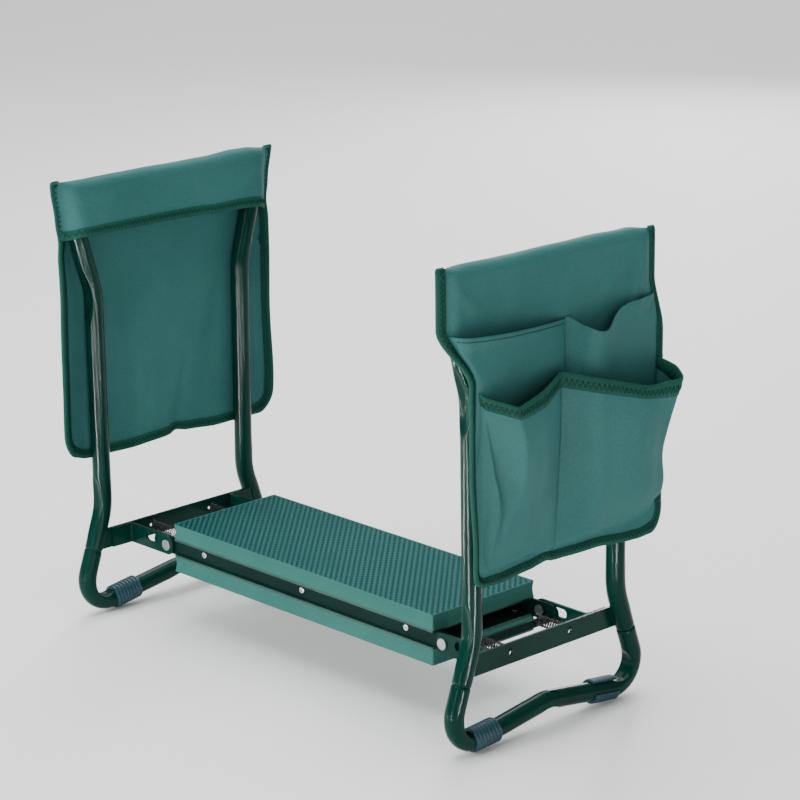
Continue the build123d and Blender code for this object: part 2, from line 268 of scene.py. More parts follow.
def rgb(red, green, blue):
    """A linear colour from 0 to 255 display values."""
    def linear(c):
        c /= 255
        return c / 12.92 if c <= 0.04045 else ((c + 0.055) / 1.055) ** 2.4
    return linear(red), linear(green), linear(blue), 1.0


def powder_coat(name, base, light, roughness, shine):
    """Powder coat with fine orange peel and slight clouding."""
    s = Shader(name)
    s.set(Specular_IOR_Level=shine, Coat_Weight=0.05, Coat_Roughness=0.03, Coat_IOR=1.4)
    s.tint(14.0, 3.0, base, light, low=0.35)
    s.connect(s.ramp(s.noise(55.0, 4.0), 0.3, 0.75, roughness * 0.8, roughness * 1.5), "Roughness")
    peel = s.bump(s.noise(650.0, 2.0), 0.22, 0.0006)
    s.connect(s.bump(s.noise(2600.0, 1.0), 0.12, 0.0002, peel), "Normal")
    return s.material


def foam(name, base, light, groove_shade=None):
    """Closed-cell foam: matte, with fine cells and soft blotches. A groove_shade colour paints shade into
    the tread's grooves.
    """
    s = Shader(name)
    s.set(Specular_IOR_Level=0.08)
    blotch = s.ramp(s.noise(9.0, 4.0), 0.3, 0.7)
    speck = s.ramp(s.noise(1400.0, 2.0), 0.35, 0.65)
    both = s.math("MULTIPLY_ADD", speck, 0.35, s.math("MULTIPLY", blotch, 0.65))
    colour = s.mix(both, base, light)
    if groove_shade:
        # Painted shade: the tread depth kept on the mesh darkens the grooves towards the groove colour.
        height = s.node("ShaderNodeAttribute", attribute_name="tread").outputs["Fac"]
        colour = s.mix(s.ramp(height, 0.25, 0.9), groove_shade, colour)
    s.connect(colour, "Base Color")
    s.connect(s.ramp(speck, 0.0, 1.0, 0.64, 0.8), "Roughness")
    cells = s.node("ShaderNodeTexVoronoi", {"Vector": s.coordinates(), "Scale": 1100.0}).outputs[0]
    s.connect(s.bump(cells, 0.25, 0.0003, s.bump(s.noise(160.0, 3.0), 0.12, 0.0006)), "Normal")
    return s.material


def woven(name, base, light, thread_mm=0.9, roughness=0.5, rib=0.0):
    """Woven polyester: warp and weft from the cloth's own coordinates, slubs and ribs."""
    s = Shader(name)
    s.set(Specular_IOR_Level=0.05)
    cloth = s.node("ShaderNodeUVMap", uv_map="cloth").outputs[0]
    parts = s.node("ShaderNodeSeparateXYZ", {0: cloth})
    turns = 2 * math.pi / (thread_mm * MM)
    warp = s.math("SINE", s.math("MULTIPLY", parts.outputs[0], turns))
    weft = s.math("SINE", s.math("MULTIPLY", parts.outputs[1], turns))
    weave = s.math("MULTIPLY", warp, weft)
    slub = s.noise(420.0, 3.0, cloth)
    cloud = s.noise(11.0, 4.0)
    yarn = s.math("MULTIPLY_ADD", slub, 0.55, s.math("MULTIPLY", cloud, 0.5))
    shade = s.math("MULTIPLY_ADD", weave, 0.13, yarn)
    s.connect(s.mix(s.ramp(shade, 0.25, 0.85), base, light), "Base Color")
    s.connect(s.ramp(slub, 0.3, 0.7, roughness * 0.88, roughness * 1.15), "Roughness")
    height = s.math("MULTIPLY_ADD", weave, 0.5, s.math("MULTIPLY", slub, 0.8))
    if rib:
        ribs = s.math("SINE", s.math("MULTIPLY", parts.outputs[0], 2 * math.pi / (rib * MM)))
        height = s.math("MULTIPLY_ADD", ribs, 0.8, height)
    soft = s.bump(s.noise(60.0, 3.0), 0.10, 0.002)
    s.connect(s.bump(height, 0.35, 0.0003, soft), "Normal")
    return s.material


def moulded(name, base, light):
    """Soft moulded plastic with a slight grain."""
    s = Shader(name)
    s.set(Specular_IOR_Level=0.45)
    s.tint(30.0, 4.0, base, light)
    s.connect(s.ramp(s.noise(140.0, 3.0), 0.3, 0.7, 0.357, 0.504), "Roughness")
    s.connect(s.bump(s.noise(1500.0, 3.0), 0.18, 0.0003), "Normal")
    return s.material


def metal(name, base, light, roughness):
    """Plated metal with a fine grain."""
    s = Shader(name)
    s.set(Metallic=1.0)
    s.tint(220.0, 5.0, base, light)
    s.connect(s.ramp(s.noise(900.0, 5.0), 0.25, 0.75, roughness * 0.7, roughness * 1.4), "Roughness")
    s.connect(s.bump(s.noise(1350.0, 4.0), 0.15, 0.0003), "Normal")
    return s.material


def pale_floor(name):
    """Matte studio paper."""
    s = Shader(name)
    s.set(Roughness=0.6, Specular_IOR_Level=0.25)
    s.tint(1.5, 2.0, (0.90, 0.90, 0.905, 1), (0.93, 0.93, 0.93, 1))
    return s.material


GREEN_STEEL = powder_coat("green_powder_coat", rgb(1, 44, 37), rgb(3, 53, 45), 0.07, 0.09)
PRESSED_STEEL = powder_coat("green_pressed_steel", rgb(1, 31, 28), rgb(4, 38, 34), 0.34, 0.04)
FOAM = foam("green_foam", rgb(46, 95, 88), rgb(57, 109, 101))
# Painted shade: the treaded face is a darker copy of the same foam, and its grooves are painted darker
# still.
FOAM_TREAD_SHADED = foam("green_foam_tread_shaded", rgb(34, 89, 88), rgb(45, 102, 100), rgb(10, 55, 55))
FABRIC = woven("teal_polyester", rgb(44, 93, 91), rgb(65, 117, 114))
TAPE = woven("binding_tape", rgb(20, 66, 57), rgb(34, 88, 76), 1.2, 0.6, rib=2.4)
THREAD = woven("stitch_thread", rgb(6, 40, 30), rgb(14, 58, 44), 0.6, 0.5)
SLEEVE_PLASTIC = moulded("blue_green_plastic", rgb(1, 50, 60), rgb(4, 62, 73))
BOARD_PLASTIC = moulded("dark_green_plastic", rgb(8, 52, 44), rgb(14, 62, 52))
ZINC = metal("zinc_plate", (0.45, 0.46, 0.47, 1), (0.62, 0.62, 0.63, 1), 0.32)
RIVET_GREY = metal("rivet_grey", (0.26, 0.27, 0.285, 1), (0.36, 0.37, 0.38, 1), 0.45)
SPRING_STEEL = metal("spring_steel", (0.02, 0.021, 0.022, 1), (0.06, 0.061, 0.064, 1), 0.24)


# --- tube frames ---

def seam_corner():
    """Where the handle tube meets the foot tube, in (y, z)."""
    run = (FOOT_CORNER[0] - WAIST_LOW[0]) / (WAIST_LOW[1] - FOOT_CORNER[1])
    return WAIST_LOW[0] + run * (WAIST_LOW[1] - SEAM_Z), SEAM_Z


def rounded_path(half, radii, step=2.2):
    """Even points along a mirrored (y, z) line with rounded corners, and where each bend is.

    A bend is (distance along the line, direction of its hollow side)."""
    corners = [(-y, z) for y, z in half] + [(y, z) for y, z in reversed(half[:-1])]
    corners = [np.array(c) for c in corners]
    radii = radii + [MIDDLE_R] + radii[::-1]
    points, marks = [corners[0]], []
    for before, corner, after, radius in zip(corners, corners[1:], corners[2:], radii):
        a, b = unit(before - corner), unit(after - corner)
        half_angle = math.acos(a @ b) / 2
        centre = corner + unit(a + b) * radius / math.sin(half_angle)
        first = corner + a * radius / math.tan(half_angle) - centre
        turn = math.pi - 2 * half_angle
        sign = math.copysign(1.0, a[1] * b[0] - a[0] * b[1])
        for k in range(25):
            angle = sign * turn * k / 24
            c, s = math.cos(angle), math.sin(angle)
            points.append(centre + np.array([c * first[0] - s * first[1], s * first[0] + c * first[1]]))
        marks.append((centre - unit(a + b) * radius, unit(a + b)))
    points = np.array(points + [corners[-1]])
    length = distances(points)[-1]
    stations = np.linspace(0, length, int(length / step))
    even = spread_evenly(points, len(stations))
    bends = []
    for place, hollow in marks:
        nearest = np.argmin(np.linalg.norm(even - place, axis=1))
        bends.append((stations[nearest], hollow))
    return even, stations, bends


def bent_tube(name, half, radii, dents, side, lift):
    """A tube along a rounded line, crushed on the hollow side of each bend as a pressed bend is.

    dents holds (length, angular width, depth) for each bend of one half and then the middle one."""
    line, stations, bends = rounded_path(half, radii)
    tangents = directions(line)
    sides = 56
    angles = np.arange(sides) * 2 * math.pi / sides
    marks = list(zip(bends, dents + dents[-2::-1]))
    points = []
    for (y, z), (ty, tz), s in zip(line, tangents, stations):
        normal = np.array([-tz, ty])
        radius = np.full(sides, TUBE_R)
        for (where, hollow), (length, width, depth) in marks:
            if abs(s - where) > 1.6 * length:
                continue
            aim = math.pi / 2 * math.copysign(1.0, normal @ hollow)
            away = np.abs((angles - aim + math.pi) % (2 * math.pi) - math.pi)
            rho = np.sqrt(((s - where) / length) ** 2 + (away / width) ** 2)
            inside = np.clip(1 - rho ** 2, 0, 1)
            radius -= depth * inside ** 0.85
            rim = np.exp(-((rho - 1.12) / 0.2) ** 2) * math.exp(-(((s - where) / length) ** 2))
            radius += 0.09 * depth * rim
        end = min(s, stations[-1] - s)
        radius *= 1 - 0.07 * math.exp(-end / 0.5)
        for a, r in zip(angles, radius):
            c, d = r * math.cos(a), r * math.sin(a)
            points.append((side * (LEG_X + c), y + normal[0] * d, z + lift + normal[1] * d))
    tube = new_object(name, points, tube_faces(len(line), sides), GREEN_STEEL)
    recalculate_normals(tube)
    return tube


def tube_lift():
    """How far the loop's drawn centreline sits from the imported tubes."""
    line, _, _ = rounded_path([seam_corner(), FOOT_CORNER, FOOT_MIDDLE], [CORNER_R])
    return foot_low[2] - (line[:, 1].min() - TUBE_R)


LIFT = tube_lift()

# Dents of the pressed bends: length, angular width in radians, depth.
WAIST_DENT = (36.0, 0.85, 5.4)
CORNER_DENT = (30.0, 1.1, 5.6)
MIDDLE_DENT = (20.0, 1.0, 3.4)


def weld_bead(start, end, radius, seed):
    """A lumpy bead of weld metal between two points."""
    start, end = np.array(start), np.array(end)
    steps, sides = 26, 12
    points = []
    axis = unit(end - start)
    across = unit(np.cross(axis, [0.3, 0.2, 0.9]))
    other = np.cross(axis, across)
    for k in range(steps + 1):
        t = k / steps
        taper = math.sqrt(max(0.02, 1 - (2 * t - 1) ** 6))
        ripple = 1 + 0.16 * math.sin(t * 34 + seed) + 0.12 * noise.noise((t * 9, seed, 0.5))
        for m in range(sides):
            a = m * 2 * math.pi / sides
            points.append(start + (end - start) * t + radius * taper * ripple
                          * (math.cos(a) * across + math.sin(a) * other))
    return points, tube_faces(steps + 1, sides)


def leg_y(z):
    """The lower leg's centreline below its waist."""
    corner = seam_corner()
    return WAIST_LOW[0] + (corner[0] - WAIST_LOW[0]) * (WAIST_LOW[1] + LIFT - z) / (WAIST_LOW[1] - SEAM_Z)


def plate_welds(side):
    """Beads where the cross plate meets the legs and the hinge arms."""
    beads = []
    inner_x, arm_y = plate_low[0] - 0.3, ARM_Y - 1.6
    for end in ENDS.values():
        for number, x in enumerate((plate_low[0], plate_high[0])):
            reach = math.sqrt(TUBE_R ** 2 - (LEG_X - x) ** 2) + 0.4
            start, stop = [
                (side * x, end * (leg_y(z) - reach), z) for z in (plate_low[2] + 2, plate_high[2] - 2)
            ]
            beads.append(weld_bead(start, stop, 1.5, end * 3 + number))
        for z in (plate_low[2] + 2, plate_high[2] - 6):
            start, stop = [(side * inner_x, end * arm_y, height) for height in (z, z + 5)]
            beads.append(weld_bead(start, stop, 1.1, z))
    return beads


def build_tubes(side_name, side):
    """The two coated tubes of one leg, and the welds of its cross plate."""
    leg = f"{side_name}_leg"
    handle = bent_tube(
        f"{side_name}_handle_tube_coated", [seam_corner(), WAIST_LOW, WAIST_HIGH, TOP_CORNER, TOP_MIDDLE],
        [BEND_R, BEND_R, CORNER_R], [WAIST_DENT, WAIST_DENT, CORNER_DENT, MIDDLE_DENT], side, LIFT,
    )
    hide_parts(f"{side_name}_handle_tube")
    foot = bent_tube(
        f"{side_name}_foot_tube_coated", [seam_corner(), FOOT_CORNER, FOOT_MIDDLE],
        [CORNER_R], [CORNER_DENT, MIDDLE_DENT], side, LIFT,
    )
    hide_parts(f"{side_name}_foot_tube")
    welds = join_parts(f"{side_name}_plate_welds", plate_welds(side), GREEN_STEEL)
    for thing in (handle, foot, welds):
        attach(thing, leg)


# --- springs ---

SPRING_Y = 42.0
SPRING_X = (237.0, 271.0)
SPRING_TURNS = 11
COIL_R = 5.2
WIRE_R = 0.62


def build_spring(name, side, y):
    """An extension spring with open coils, hooked between the spring bar and the cross plate."""
    coil_z = HINGE_Z + 1.0
    x_low, x_high = SPRING_X
    per_turn = 18
    steps = SPRING_TURNS * per_turn
    coil = []
    for k in range(steps + 1):
        a = k * 2 * math.pi / per_turn
        coil.append((x_low + (x_high - x_low) * k / steps, COIL_R * math.sin(a), COIL_R * math.cos(a)))
    hook_in, hook_out = [], []
    for k in range(15):
        a = math.pi * (0.5 + 1.35 * k / 14)
        hook_in.append((x_low - 3.2 + 4.4 * math.cos(a), 0.0, 0.8 + 4.4 * math.sin(a)))
        hook_out.append((x_high + 6.2 - 5.4 * math.cos(a), 0.0, 1.2 + 5.4 * math.sin(a)))
    path = list(reversed(hook_in)) + coil + hook_out
    path = [(side * px, y + py, coil_z + pz) for px, py, pz in path]
    points, faces = wire(path, WIRE_R)
    spring = new_object(name, points, faces, SPRING_STEEL)
    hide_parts(name.removesuffix("_coil"))
    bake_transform(spring)


# --- foot sleeves ---

SLEEVE_LENGTH = 35.0
SLEEVE_RIBS = 8
SLEEVE_WALL = 1.9


def build_sleeve(side_name, end_name, side, end, middle_y, slit_angle, slit):
    """A ribbed, slit plastic sleeve clipped round the foot tube. It leans up near the bend."""
    inner_end, outer_end = np.array(FOOT_MIDDLE), np.array(FOOT_CORNER)
    along = unit(outer_end - inner_end)
    centre = inner_end + along * (middle_y - inner_end[0]) / along[0]
    lean = 0.006 * max(0.0, middle_y - 77.0)
    axis = unit(along + np.array([0.0, lean]))
    centre = centre + np.array([0.0, 0.2 + lean * 17])
    normal = np.array([-axis[1], axis[0]])
    angles = np.linspace(slit_angle + slit, slit_angle + 2 * math.pi - slit, 48)
    rows = []
    for t in np.linspace(0, 1, 73):
        y, z = centre + axis * SLEEVE_LENGTH * (t - 0.5)
        rib = 0.5 - 0.5 * math.cos(2 * math.pi * (t * SLEEVE_RIBS))
        outer = TUBE_R + SLEEVE_WALL + 1.1 * rib ** 0.5
        outer -= 0.9 * sum(math.exp(-from_rim * SLEEVE_LENGTH / 0.7) for from_rim in (t, 1 - t))
        inner = TUBE_R + 0.15
        ring = [(outer, a) for a in angles] + [(inner, a) for a in reversed(angles)]
        rows.append([
            (side * (LEG_X + r * math.cos(a)), end * (y + normal[0] * r * math.sin(a)),
             z + LIFT + normal[1] * r * math.sin(a)) for r, a in ring
        ])
    cols = len(rows[0])
    points = [p for row in rows for p in row]
    faces = grid_faces(len(rows), cols, closed=True)
    half = cols // 2
    for base in (0, (len(rows) - 1) * cols):
        for k in range(half - 1):
            faces.append((base + k, base + k + 1, base + cols - 2 - k, base + cols - 1 - k))
    name = f"{side_name}_{end_name}_foot_sleeve_ribbed"
    sleeve = new_object(name, points, faces, SLEEVE_PLASTIC)
    recalculate_normals(sleeve)
    add_modifier(sleeve, "EDGE_SPLIT", "sharp_rims", split_angle=math.radians(50))
    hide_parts(f"{side_name}_{end_name}_foot_sleeve")
    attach(sleeve, f"{side_name}_leg")


# --- pads ---

TREAD_X = 7.5
TREAD_Y = 7.9
TREAD_DEPTH = 1.4


def tread(x, y):
    """Height of the pad's moulded tread: small lozenges between two families of slanting grooves."""
    first = 0.5 + 0.5 * np.cos(2 * math.pi * (x / TREAD_X + y / TREAD_Y))
    second = 0.5 + 0.5 * np.cos(2 * math.pi * (x / TREAD_X - y / TREAD_Y))
    return TREAD_DEPTH * (np.sqrt(first) * (0.45 + 0.55 * np.sqrt(second)) - 1.0)


PAD_STEP = 1.1
PAD_EDGE = 0.9
PAD_CORNER = 2.5


def rim_point(x, y, half_x, half_y, inset):
    """A rim point of the face, from the pad's middle, moved to the side with its rounded corners."""
    on_x, on_y = x + PAD_EDGE >= half_x - 1e-6, y + PAD_EDGE >= half_y - 1e-6
    px = max(min(x + PAD_EDGE, half_x) - (inset if on_x else 0), 0)
    py = max(min(y + PAD_EDGE, half_y) - (inset if on_y else 0), 0)
    dx, dy = px - (half_x - PAD_CORNER), py - (half_y - PAD_CORNER)
    reach, radius = math.hypot(dx, dy), PAD_CORNER - inset
    if dx > 0 and dy > 0 and reach > radius:
        px = half_x - PAD_CORNER + dx * radius / reach
        py = half_y - PAD_CORNER + dy * radius / reach
    return px if on_x else min(px, x + PAD_EDGE), py


def build_pad(name, node, low, high, up):
    """A foam pad: treaded face, sides cut a little hollow, flat glued face. The treaded face takes a darker
    foam as painted shade.
    """
    cols = int((high[0] - low[0]) / PAD_STEP) + 1
    rows = int((high[1] - low[1]) / PAD_STEP) + 1
    xs = np.linspace(low[0] + PAD_EDGE, high[0] - PAD_EDGE, cols)
    ys = np.linspace(low[1] + PAD_EDGE, high[1] - PAD_EDGE, rows)
    gx, gy = np.meshgrid(xs, ys)
    border = np.minimum.reduce([gx - low[0], high[0] - gx, gy - low[1], high[1] - gy])
    fade = smooth_step(0.8, 1.8, border)
    face_z = high[2] if up > 0 else low[2]
    wave = np.array([[noise.noise((x / 60, y / 60, face_z)) for x in xs] for y in ys]) * 0.25
    gz = face_z + up * (tread(gx, gy) * fade + wave - 0.5 * (1 - fade))
    points = np.stack([gx, gy, gz], axis=-1).reshape(-1, 3).tolist()
    faces = grid_faces(rows, cols)
    ring = list(range(cols)) + [r * cols + cols - 1 for r in range(1, rows)]
    ring += [(rows - 1) * cols + c for c in range(cols - 2, -1, -1)]
    ring += [r * cols for r in range(rows - 2, 0, -1)]
    middle = (np.array(low) + np.array(high)) / 2
    half_x, half_y, thickness = (high[0] - low[0]) / 2, (high[1] - low[1]) / 2, high[2] - low[2]
    # The side, as (inset, depth): a soft rim, a slightly hollow cut, and the glued edge.
    profile = [(0.25, 0.35), (0.05, 0.9), (0.0, 1.6)]
    for t in np.linspace(0.1, 1, 9):
        profile.append((1.3 * math.sin(math.pi * t) ** 0.8, 1.6 + t * (thickness - 2.6)))
    profile += [(0.1, thickness - 0.6), (0.5, thickness)]
    previous = ring
    for inset, depth in profile:
        current = []
        for i in ring:
            x, y, _ = points[i]
            at_x, at_y = x - middle[0], y - middle[1]
            px, py = rim_point(abs(at_x), abs(at_y), half_x, half_y, inset)
            wobble = 0.12 * noise.noise((x / 25, y / 25, depth / 6))
            current.append(len(points))
            points.append((
                middle[0] + math.copysign(px, at_x) + wobble, middle[1] + math.copysign(py, at_y) + wobble,
                face_z - up * depth,
            ))
        for k in range(len(ring)):
            j = (k + 1) % len(ring)
            faces.append((previous[k], previous[j], current[j], current[k]))
        previous = current
    faces.append(tuple(previous))
    pad = new_object(name, points, faces, FOAM)
    recalculate_normals(pad)
    # Painted shade: the treaded faces get the darker foam copy.
    pad.data.materials.append(FOAM_TREAD_SHADED)
    # Painted shade: each treaded point keeps its depth, which the foam shader uses to darken the grooves.
    shade = np.ones(len(points))
    shade[:rows * cols] = 1 + (tread(gx, gy) / TREAD_DEPTH).ravel() * fade.ravel()
    pad.data.attributes.new("tread", "FLOAT", "POINT").data.foreach_set("value", shade.astype(np.float32))
    treaded = (rows - 1) * (cols - 1)
    pad.data.polygons.foreach_set("material_index", [1] * treaded + [0] * (len(faces) - treaded))
    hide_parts(node)
    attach(pad, "seat")


# --- cloth ---

BAG_PLANE = LEG_X + TUBE_R
CLOTH_STEP = 2.5
TAPE_WIDTH = 9.5
HEM_TAPE = 1.1
STITCH_INSETS = (3.0, 7.6)
STITCH_PITCH = 2.6


def mean_run(grid, axis):
    """The mean length of a grid's lines along one axis."""
    return np.mean(np.sum(np.linalg.norm(np.diff(grid, axis=axis), axis=2), axis=axis))


class Cloth:
    """A sheet as a regular grid over its flat millimetres (across, along), placed in bag space."""

    def __init__(self, across, along, points):
        self.across, self.along, self.points = across, along, points

    @classmethod
    def from_grid(cls, grid):
        """A cloth whose flat size is the mean length of the grid's rows and columns."""
        rows, cols = grid.shape[:2]
        return cls(np.linspace(0, mean_run(grid, 1), cols), np.linspace(0, mean_run(grid, 0), rows), grid)

    def at(self, u, v):
        """Points of the sheet at flat positions."""
        rows, cols = self.points.shape[:2]
        i = np.clip(np.interp(v, self.along, np.arange(rows)), 0, rows - 1.0001)
        j = np.clip(np.interp(u, self.across, np.arange(cols)), 0, cols - 1.0001)
        i0, j0 = i.astype(int), j.astype(int)
        fi, fj = (i - i0)[..., None], (j - j0)[..., None]
        p = self.points
        low = p[i0, j0] * (1 - fj) + p[i0, j0 + 1] * fj
        high = p[i0 + 1, j0] * (1 - fj) + p[i0 + 1, j0 + 1] * fj
        return low * (1 - fi) + high * fi

    def heights(self, u):
        """The z of each row of the sheet, at one place across it."""
        return self.at(u + 0 * self.along, self.along)[:, 2]

    def normal(self, u, v):
        along = self.at(u, v + 3.0) - self.at(u, v - 3.0)
        across = self.at(u + 3.0, v) - self.at(u - 3.0, v)
        n = np.cross(along, across)
        return n / np.maximum(np.linalg.norm(n, axis=-1, keepdims=True), 1e-9)

    def lift(self, u, v, height):
        u, v = np.asarray(u, float), np.asarray(v, float)
        return self.at(u, v) + self.normal(u, v) * np.asarray(height, float)[..., None]


def to_row(side, points):
    """Bag space to the row frame, in millimetres."""
    points = np.asarray(points)
    return np.stack([side * (BAG_PLANE + points[..., 0]), points[..., 1], points[..., 2]], axis=-1)


def soft_noise(a, b, size, seed):
    """Smooth noise over two matching arrays."""
    flat = [noise.noise((p / size, q / size, seed)) for p, q in zip(np.ravel(a), np.ravel(b))]
    return np.reshape(flat, np.shape(a))


def creases(u, v, lines):
    """Height of soft creases, each a line (u, v, u, v), its half width and its height."""
    height = np.zeros(np.shape(u))
    for u0, v0, u1, v1, width, rise in lines:
        run = np.array([u1 - u0, v1 - v0], float)
        length = np.linalg.norm(run)
        along = ((u - u0) * run[0] + (v - v0) * run[1]) / length
        off = ((u - u0) * run[1] - (v - v0) * run[0]) / length
        share = np.clip(along / length, 0, 1)
        beyond = along - share * length
        spread = width * (0.6 + 0.8 * share)
        height += rise * np.exp(-(off / spread) ** 2 - (beyond / (2 * width)) ** 2) * np.sin(
            math.pi * np.clip(share * 0.9 + 0.05, 0, 1)) ** 0.6
    return height


def sheet_mesh(name, cloth, side, corner=0.0):
    """The cloth's mesh, with its two far corners rounded off."""
    across, along = cloth.across, cloth.along
    u, v = np.meshgrid(across, along)
    if corner:
        rise = np.clip(v - (along[-1] - corner), 0, corner)
        cut = corner - np.sqrt(np.maximum(corner ** 2 - rise ** 2, 0))
        half = (across[-1] - across[0]) / 2
        u = u * (half - cut) / half
    points = to_row(side, cloth.at(u, v))
    uvs = np.stack([u, v], axis=-1).reshape(-1, 2)
    thing = new_object(name, points.reshape(-1, 3), grid_faces(*points.shape[:2]), FABRIC, uvs)
    add_modifier(thing, "SOLIDIFY", "cloth_thickness", thickness=0.8 * MM, offset=0.0)
    return thing


def tape_mesh(name, cloth, side, path, inward, over, under):
    """A binding folded over an edge: path and inward are flat positions and unit directions."""
    path, inward = np.asarray(path, float), np.asarray(inward, float)
    inner = TAPE_WIDTH * 0.6
    profile = [(TAPE_WIDTH, over), (inner, over * 1.05), (0.4, over), (-0.7, over * 0.45),
               (-0.7, -under * 0.45), (0.4, -under), (inner, -under * 1.05), (TAPE_WIDTH, -under)]
    rows, uvs = [], []
    run = distances(path)
    edge_points = cloth.at(path[:, 0], path[:, 1])
    inside = path + inward * 2.0
    outwards = edge_points - cloth.at(inside[:, 0], inside[:, 1])
    outwards /= np.maximum(np.linalg.norm(outwards, axis=1, keepdims=True), 1e-9)
    for inset, height in profile:
        spot = path + inward * max(inset, 0.0)
        wobble = 0.12 * np.sin(run / 1.7) * (inset > TAPE_WIDTH * 0.9)
        row = cloth.at(spot[:, 0], spot[:, 1]) + cloth.normal(spot[:, 0], spot[:, 1]) * height
        if inset < 0:
            row = row - outwards * inset
        rows.append(row - outwards * wobble[:, None])
        uvs.append(np.stack([np.full(len(run), inset + height), run], axis=-1))
    points = to_row(side, np.stack(rows, axis=1)).reshape(-1, 3)
    faces = tube_faces(len(path), len(profile))
    tape = new_object(name, points, faces, TAPE, np.stack(uvs, axis=1).reshape(-1, 2))
    recalculate_normals(tape)
    return tape


def stitch_parts(cloth, side, path, inward, near, far, pitch, heights):
    """Zigzag (near != far) or running stitches along a path, on the faces at the given heights."""
    path, inward = np.asarray(path, float), np.asarray(inward, float)
    run = distances(path)
    count = int((run[-1] - 4) / pitch)
    parts = []
    for height in heights:
        for k in range(count):
            ends = []
            for s, inset in ((2 + k * pitch, near), (2 + (k + 0.86) * pitch, far)):
                spot = np.array([np.interp(s, run, path[:, n]) for n in (0, 1)])
                turn = np.array([np.interp(s, run, inward[:, n]) for n in (0, 1)])
                ends.append(spot + turn * (inset if k % 2 == 0 or near == far else near + far - inset))
            steps = np.linspace(0, 1, 4)
            flat = np.outer(1 - steps, ends[0]) + np.outer(steps, ends[1])
            bow = height + math.copysign(0.32, height) * np.sin(math.pi * steps) - math.copysign(0.1, height)
            line = cloth.lift(flat[:, 0], flat[:, 1], bow)
            parts.append(wire(to_row(side, line), 0.3, sides=5))
    return parts


# --- tool bags ---

BAG_HALF = 150.0
BAG_BOTTOM = 176.0
BAG_CORNER = 36.0
FLAP = 64.0
HUG = TUBE_R + 1.5

# Creases pulled by the seams, in flat millimetres: a line (u, v, u, v), half width, height.
HOOD_CREASES = (
    (112, 24, 70, 62, 5, 2.6), (88, 22, 60, 44, 4, 1.8), (128, 30, 108, 96, 5, 2.2),
    (-132, 26, -96, 60, 6, 2.0), (30, 20, 12, 52, 7, 1.5), (-40, 20, -62, 56, 8, 1.4),
)
FLAP_CREASES = (
    (-132, -22, -84, -38, 6, 2.2), (-96, -24, -52, -30, 7, 1.6), (128, -24, 92, -44, 6, 2.0),
    (10, -22, 44, -44, 9, 1.4), (-92, 150, -40, 300, 14, 2.2), (84, 140, 52, 296, 14, 2.0),
    (-20, 250, -30, 306, 6, 1.6), (30, 240, 18, 306, 7, 1.6),
)
POCKET_CREASES = (
    (20, 24, 40, 128, 5, 4.6), (46, 120, 22, 176, 5, -4.0), (96, 100, 66, 168, 5, 2.4),
    (40, 110, 30, 176, 5, 2.2), (120, 130, 112, 176, 4, 1.8), (76, 20, 84, 110, 12, 1.8),
    (140, 40, 128, 140, 9, 2.0), (12, 96, 34, 170, 4, 2.0),
)


